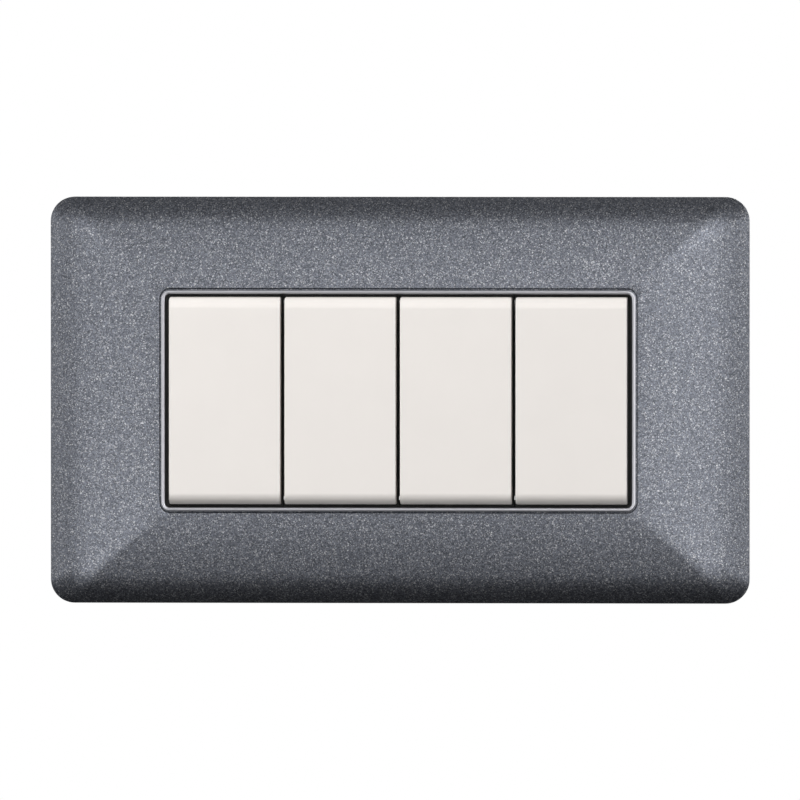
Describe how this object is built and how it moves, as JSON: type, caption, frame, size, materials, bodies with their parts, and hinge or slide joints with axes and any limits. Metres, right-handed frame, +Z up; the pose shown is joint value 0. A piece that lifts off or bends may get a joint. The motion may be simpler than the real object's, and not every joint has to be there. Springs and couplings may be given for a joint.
{
  "type": "light switch plate",
  "caption": "Wall switch plate: a pillow-shaped metallic cover on a support frame, with a row of modular two-way rocker switches behind wide white keys.",
  "frame": {"origin": "on the wall plane, midway between the two box screws", "axes": "+X along the row of keys to the right as seen from the room, +Y into the wall, +Z up"},
  "size_m": [0.1362, 0.0344, 0.0792],
  "materials": {
    "plate_lacquer": "metallic lacquer with a fine light speckle, satin",
    "key_plastic": "smooth creamy-white moulding, soft satin gloss",
    "frame_plastic": "fine moulded grain, dark",
    "case_plastic": "fine moulded grain, black",
    "screw_steel": "zinc plated",
    "plunger_plastic": "natural slippery moulding",
    "spring_steel": "drawn wire",
    "blade_copper": "stamped sheet, bright",
    "contact_silver": "polished crown",
    "strip_brass": "stamped sheet, bright"
  },
  "bodies": {
    "wall_unit": {"cover_plate": "plate_lacquer", "support_frame": "frame_plastic", "box_screws": "screw_steel", "fixed_contacts_1": "contact_silver", "common_terminal_1": "strip_brass", "upper_terminal_1": "strip_brass", "lower_terminal_1": "strip_brass", "clamp_plates_1": "screw_steel", "terminal_screws_1": "screw_steel", "housing_1": "case_plastic", "base_1": "case_plastic", "fixed_contacts_2": "contact_silver", "common_terminal_2": "strip_brass", "upper_terminal_2": "strip_brass", "lower_terminal_2": "strip_brass", "clamp_plates_2": "screw_steel", "terminal_screws_2": "screw_steel", "housing_2": "case_plastic", "base_2": "case_plastic", "fixed_contacts_3": "contact_silver", "common_terminal_3": "strip_brass", "upper_terminal_3": "strip_brass", "lower_terminal_3": "strip_brass", "clamp_plates_3": "screw_steel", "terminal_screws_3": "screw_steel", "housing_3": "case_plastic", "base_3": "case_plastic", "fixed_contacts_4": "contact_silver", "common_terminal_4": "strip_brass", "upper_terminal_4": "strip_brass", "lower_terminal_4": "strip_brass", "clamp_plates_4": "screw_steel", "terminal_screws_4": "screw_steel", "housing_4": "case_plastic", "base_4": "case_plastic"},
    "key_1": {"key_1": "key_plastic", "plunger_spring_1": "spring_steel"},
    "plunger_1": {"plunger_1": "plunger_plastic"},
    "blade_1": {"contact_blade_1": "blade_copper", "moving_contacts_1": "contact_silver"},
    "key_2": {"key_2": "key_plastic", "plunger_spring_2": "spring_steel"},
    "plunger_2": {"plunger_2": "plunger_plastic"},
    "blade_2": {"contact_blade_2": "blade_copper", "moving_contacts_2": "contact_silver"},
    "key_3": {"key_3": "key_plastic", "plunger_spring_3": "spring_steel"},
    "plunger_3": {"plunger_3": "plunger_plastic"},
    "blade_3": {"contact_blade_3": "blade_copper", "moving_contacts_3": "contact_silver"},
    "key_4": {"key_4": "key_plastic", "plunger_spring_4": "spring_steel"},
    "plunger_4": {"plunger_4": "plunger_plastic"},
    "blade_4": {"contact_blade_4": "blade_copper", "moving_contacts_4": "contact_silver"}
  },
  "joints": [
    {"name": "key_1_rock", "type": "hinge", "parent": "wall_unit", "child": "key_1", "pos_m": [-0.03375, -0.0012, 0], "axis": [1, 0, 0], "range_deg": [-4, 4]},
    {"name": "plunger_1_travel", "type": "slide", "parent": "key_1", "child": "plunger_1", "axis": [0, -1, 0], "range_m": [0, 0.0006], "stiffness_N_per_m": 800, "springref_m": -0.001, "deforming": ["plunger_spring_1"]},
    {"name": "blade_1_tilt", "type": "hinge", "parent": "wall_unit", "child": "blade_1", "pos_m": [-0.03375, 0.01132, 0], "axis": [1, 0, 0], "range_deg": [-7, 7]},
    {"name": "key_2_rock", "type": "hinge", "parent": "wall_unit", "child": "key_2", "pos_m": [-0.01125, -0.0012, 0], "axis": [1, 0, 0], "range_deg": [-4, 4]},
    {"name": "plunger_2_travel", "type": "slide", "parent": "key_2", "child": "plunger_2", "axis": [0, -1, 0], "range_m": [0, 0.0006], "stiffness_N_per_m": 800, "springref_m": -0.001, "deforming": ["plunger_spring_2"]},
    {"name": "blade_2_tilt", "type": "hinge", "parent": "wall_unit", "child": "blade_2", "pos_m": [-0.01125, 0.01132, 0], "axis": [1, 0, 0], "range_deg": [-7, 7]},
    {"name": "key_3_rock", "type": "hinge", "parent": "wall_unit", "child": "key_3", "pos_m": [0.01125, -0.0012, 0], "axis": [1, 0, 0], "range_deg": [-4, 4]},
    {"name": "plunger_3_travel", "type": "slide", "parent": "key_3", "child": "plunger_3", "axis": [0, -1, 0], "range_m": [0, 0.0006], "stiffness_N_per_m": 800, "springref_m": -0.001, "deforming": ["plunger_spring_3"]},
    {"name": "blade_3_tilt", "type": "hinge", "parent": "wall_unit", "child": "blade_3", "pos_m": [0.01125, 0.01132, 0], "axis": [1, 0, 0], "range_deg": [-7, 7]},
    {"name": "key_4_rock", "type": "hinge", "parent": "wall_unit", "child": "key_4", "pos_m": [0.03375, -0.0012, 0], "axis": [1, 0, 0], "range_deg": [-4, 4]},
    {"name": "plunger_4_travel", "type": "slide", "parent": "key_4", "child": "plunger_4", "axis": [0, -1, 0], "range_m": [0, 0.0006], "stiffness_N_per_m": 800, "springref_m": -0.001, "deforming": ["plunger_spring_4"]},
    {"name": "blade_4_tilt", "type": "hinge", "parent": "wall_unit", "child": "blade_4", "pos_m": [0.03375, 0.01132, 0], "axis": [1, 0, 0], "range_deg": [-7, 7]}
  ],
  "couplings": [
    {"joint": "blade_1_tilt", "follows": "key_1_rock", "ratio": -1.75},
    {"joint": "blade_2_tilt", "follows": "key_2_rock", "ratio": -1.75},
    {"joint": "blade_3_tilt", "follows": "key_3_rock", "ratio": -1.75},
    {"joint": "blade_4_tilt", "follows": "key_4_rock", "ratio": -1.75}
  ]
}
